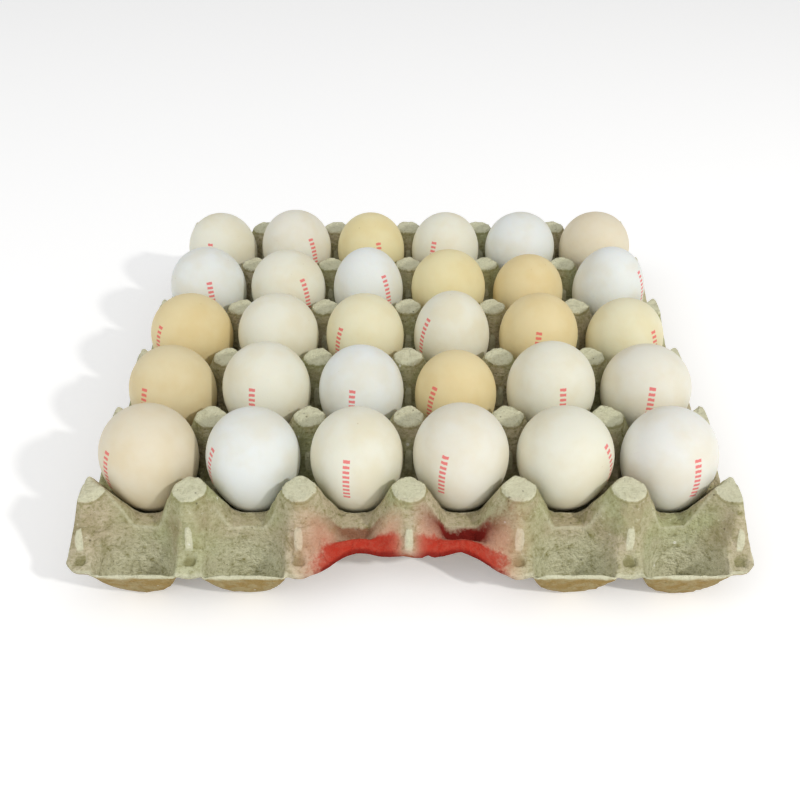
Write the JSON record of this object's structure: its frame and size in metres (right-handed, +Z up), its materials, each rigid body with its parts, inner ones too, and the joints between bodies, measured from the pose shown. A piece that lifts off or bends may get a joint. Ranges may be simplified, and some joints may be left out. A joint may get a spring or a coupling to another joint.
{
  "type": "egg tray",
  "caption": "Open tray of moulded paper pulp with rows of cups between flat-topped hollow posts and a finger notch at the front and back, filled with loose hen's eggs.",
  "frame": {"origin": "on the table, under the middle of the tray", "axes": "+Z up, +X to the right along a row of eggs, +Y from the front edge that the picture shows to the back edge"},
  "size_m": [0.302, 0.295, 0.071],
  "materials": {
    "moulded_pulp": "matte",
    "shell_bluish_white": "satin",
    "shell_white": "satin",
    "shell_ivory": "satin",
    "shell_cream": "satin",
    "shell_straw": "satin",
    "shell_tan": "satin",
    "shell_sand": "satin",
    "shell_peach": "satin",
    "shell_blush": "satin"
  },
  "bodies": {
    "tray": {"pulp_tray": "moulded_pulp"},
    "egg_row1_col1_body": {"egg_row1_col1": "shell_peach"},
    "egg_row1_col2_body": {"egg_row1_col2": "shell_bluish_white"},
    "egg_row1_col3_body": {"egg_row1_col3": "shell_ivory"},
    "egg_row1_col4_body": {"egg_row1_col4": "shell_blush"},
    "egg_row1_col5_body": {"egg_row1_col5": "shell_ivory"},
    "egg_row1_col6_body": {"egg_row1_col6": "shell_white"},
    "egg_row2_col1_body": {"egg_row2_col1": "shell_sand"},
    "egg_row2_col2_body": {"egg_row2_col2": "shell_ivory"},
    "egg_row2_col3_body": {"egg_row2_col3": "shell_bluish_white"},
    "egg_row2_col4_body": {"egg_row2_col4": "shell_tan"},
    "egg_row2_col5_body": {"egg_row2_col5": "shell_ivory"},
    "egg_row2_col6_body": {"egg_row2_col6": "shell_blush"},
    "egg_row3_col1_body": {"egg_row3_col1": "shell_tan"},
    "egg_row3_col2_body": {"egg_row3_col2": "shell_ivory"},
    "egg_row3_col3_body": {"egg_row3_col3": "shell_cream"},
    "egg_row3_col4_body": {"egg_row3_col4": "shell_ivory"},
    "egg_row3_col5_body": {"egg_row3_col5": "shell_tan"},
    "egg_row3_col6_body": {"egg_row3_col6": "shell_cream"},
    "egg_row4_col1_body": {"egg_row4_col1": "shell_bluish_white"},
    "egg_row4_col2_body": {"egg_row4_col2": "shell_ivory"},
    "egg_row4_col3_body": {"egg_row4_col3": "shell_bluish_white"},
    "egg_row4_col4_body": {"egg_row4_col4": "shell_straw"},
    "egg_row4_col5_body": {"egg_row4_col5": "shell_tan"},
    "egg_row4_col6_body": {"egg_row4_col6": "shell_bluish_white"},
    "egg_row5_col1_body": {"egg_row5_col1": "shell_ivory"},
    "egg_row5_col2_body": {"egg_row5_col2": "shell_blush"},
    "egg_row5_col3_body": {"egg_row5_col3": "shell_straw"},
    "egg_row5_col4_body": {"egg_row5_col4": "shell_ivory"},
    "egg_row5_col5_body": {"egg_row5_col5": "shell_bluish_white"},
    "egg_row5_col6_body": {"egg_row5_col6": "shell_peach"}
  },
  "joints": [
    {"name": "egg_row1_col1_lift", "type": "slide", "parent": "tray", "child": "egg_row1_col1_body", "axis": [0, 0, 1], "range_m": [0, 0.07]},
    {"name": "egg_row1_col2_lift", "type": "slide", "parent": "tray", "child": "egg_row1_col2_body", "axis": [0, 0, 1], "range_m": [0, 0.07]},
    {"name": "egg_row1_col3_lift", "type": "slide", "parent": "tray", "child": "egg_row1_col3_body", "axis": [0, 0, 1], "range_m": [0, 0.07]},
    {"name": "egg_row1_col4_lift", "type": "slide", "parent": "tray", "child": "egg_row1_col4_body", "axis": [0, 0, 1], "range_m": [0, 0.07]},
    {"name": "egg_row1_col5_lift", "type": "slide", "parent": "tray", "child": "egg_row1_col5_body", "axis": [0, 0, 1], "range_m": [0, 0.07]},
    {"name": "egg_row1_col6_lift", "type": "slide", "parent": "tray", "child": "egg_row1_col6_body", "axis": [0, 0, 1], "range_m": [0, 0.07]},
    {"name": "egg_row2_col1_lift", "type": "slide", "parent": "tray", "child": "egg_row2_col1_body", "axis": [0, 0, 1], "range_m": [0, 0.07]},
    {"name": "egg_row2_col2_lift", "type": "slide", "parent": "tray", "child": "egg_row2_col2_body", "axis": [0, 0, 1], "range_m": [0, 0.07]},
    {"name": "egg_row2_col3_lift", "type": "slide", "parent": "tray", "child": "egg_row2_col3_body", "axis": [0, 0, 1], "range_m": [0, 0.07]},
    {"name": "egg_row2_col4_lift", "type": "slide", "parent": "tray", "child": "egg_row2_col4_body", "axis": [0, 0, 1], "range_m": [0, 0.07]},
    {"name": "egg_row2_col5_lift", "type": "slide", "parent": "tray", "child": "egg_row2_col5_body", "axis": [0, 0, 1], "range_m": [0, 0.07]},
    {"name": "egg_row2_col6_lift", "type": "slide", "parent": "tray", "child": "egg_row2_col6_body", "axis": [0, 0, 1], "range_m": [0, 0.07]},
    {"name": "egg_row3_col1_lift", "type": "slide", "parent": "tray", "child": "egg_row3_col1_body", "axis": [0, 0, 1], "range_m": [0, 0.07]},
    {"name": "egg_row3_col2_lift", "type": "slide", "parent": "tray", "child": "egg_row3_col2_body", "axis": [0, 0, 1], "range_m": [0, 0.07]},
    {"name": "egg_row3_col3_lift", "type": "slide", "parent": "tray", "child": "egg_row3_col3_body", "axis": [0, 0, 1], "range_m": [0, 0.07]},
    {"name": "egg_row3_col4_lift", "type": "slide", "parent": "tray", "child": "egg_row3_col4_body", "axis": [0, 0, 1], "range_m": [0, 0.07]},
    {"name": "egg_row3_col5_lift", "type": "slide", "parent": "tray", "child": "egg_row3_col5_body", "axis": [0, 0, 1], "range_m": [0, 0.07]},
    {"name": "egg_row3_col6_lift", "type": "slide", "parent": "tray", "child": "egg_row3_col6_body", "axis": [0, 0, 1], "range_m": [0, 0.07]},
    {"name": "egg_row4_col1_lift", "type": "slide", "parent": "tray", "child": "egg_row4_col1_body", "axis": [0, 0, 1], "range_m": [0, 0.07]},
    {"name": "egg_row4_col2_lift", "type": "slide", "parent": "tray", "child": "egg_row4_col2_body", "axis": [0, 0, 1], "range_m": [0, 0.07]},
    {"name": "egg_row4_col3_lift", "type": "slide", "parent": "tray", "child": "egg_row4_col3_body", "axis": [0, 0, 1], "range_m": [0, 0.07]},
    {"name": "egg_row4_col4_lift", "type": "slide", "parent": "tray", "child": "egg_row4_col4_body", "axis": [0, 0, 1], "range_m": [0, 0.07]},
    {"name": "egg_row4_col5_lift", "type": "slide", "parent": "tray", "child": "egg_row4_col5_body", "axis": [0, 0, 1], "range_m": [0, 0.07]},
    {"name": "egg_row4_col6_lift", "type": "slide", "parent": "tray", "child": "egg_row4_col6_body", "axis": [0, 0, 1], "range_m": [0, 0.07]},
    {"name": "egg_row5_col1_lift", "type": "slide", "parent": "tray", "child": "egg_row5_col1_body", "axis": [0, 0, 1], "range_m": [0, 0.07]},
    {"name": "egg_row5_col2_lift", "type": "slide", "parent": "tray", "child": "egg_row5_col2_body", "axis": [0, 0, 1], "range_m": [0, 0.07]},
    {"name": "egg_row5_col3_lift", "type": "slide", "parent": "tray", "child": "egg_row5_col3_body", "axis": [0, 0, 1], "range_m": [0, 0.07]},
    {"name": "egg_row5_col4_lift", "type": "slide", "parent": "tray", "child": "egg_row5_col4_body", "axis": [0, 0, 1], "range_m": [0, 0.07]},
    {"name": "egg_row5_col5_lift", "type": "slide", "parent": "tray", "child": "egg_row5_col5_body", "axis": [0, 0, 1], "range_m": [0, 0.07]},
    {"name": "egg_row5_col6_lift", "type": "slide", "parent": "tray", "child": "egg_row5_col6_body", "axis": [0, 0, 1], "range_m": [0, 0.07]}
  ]
}
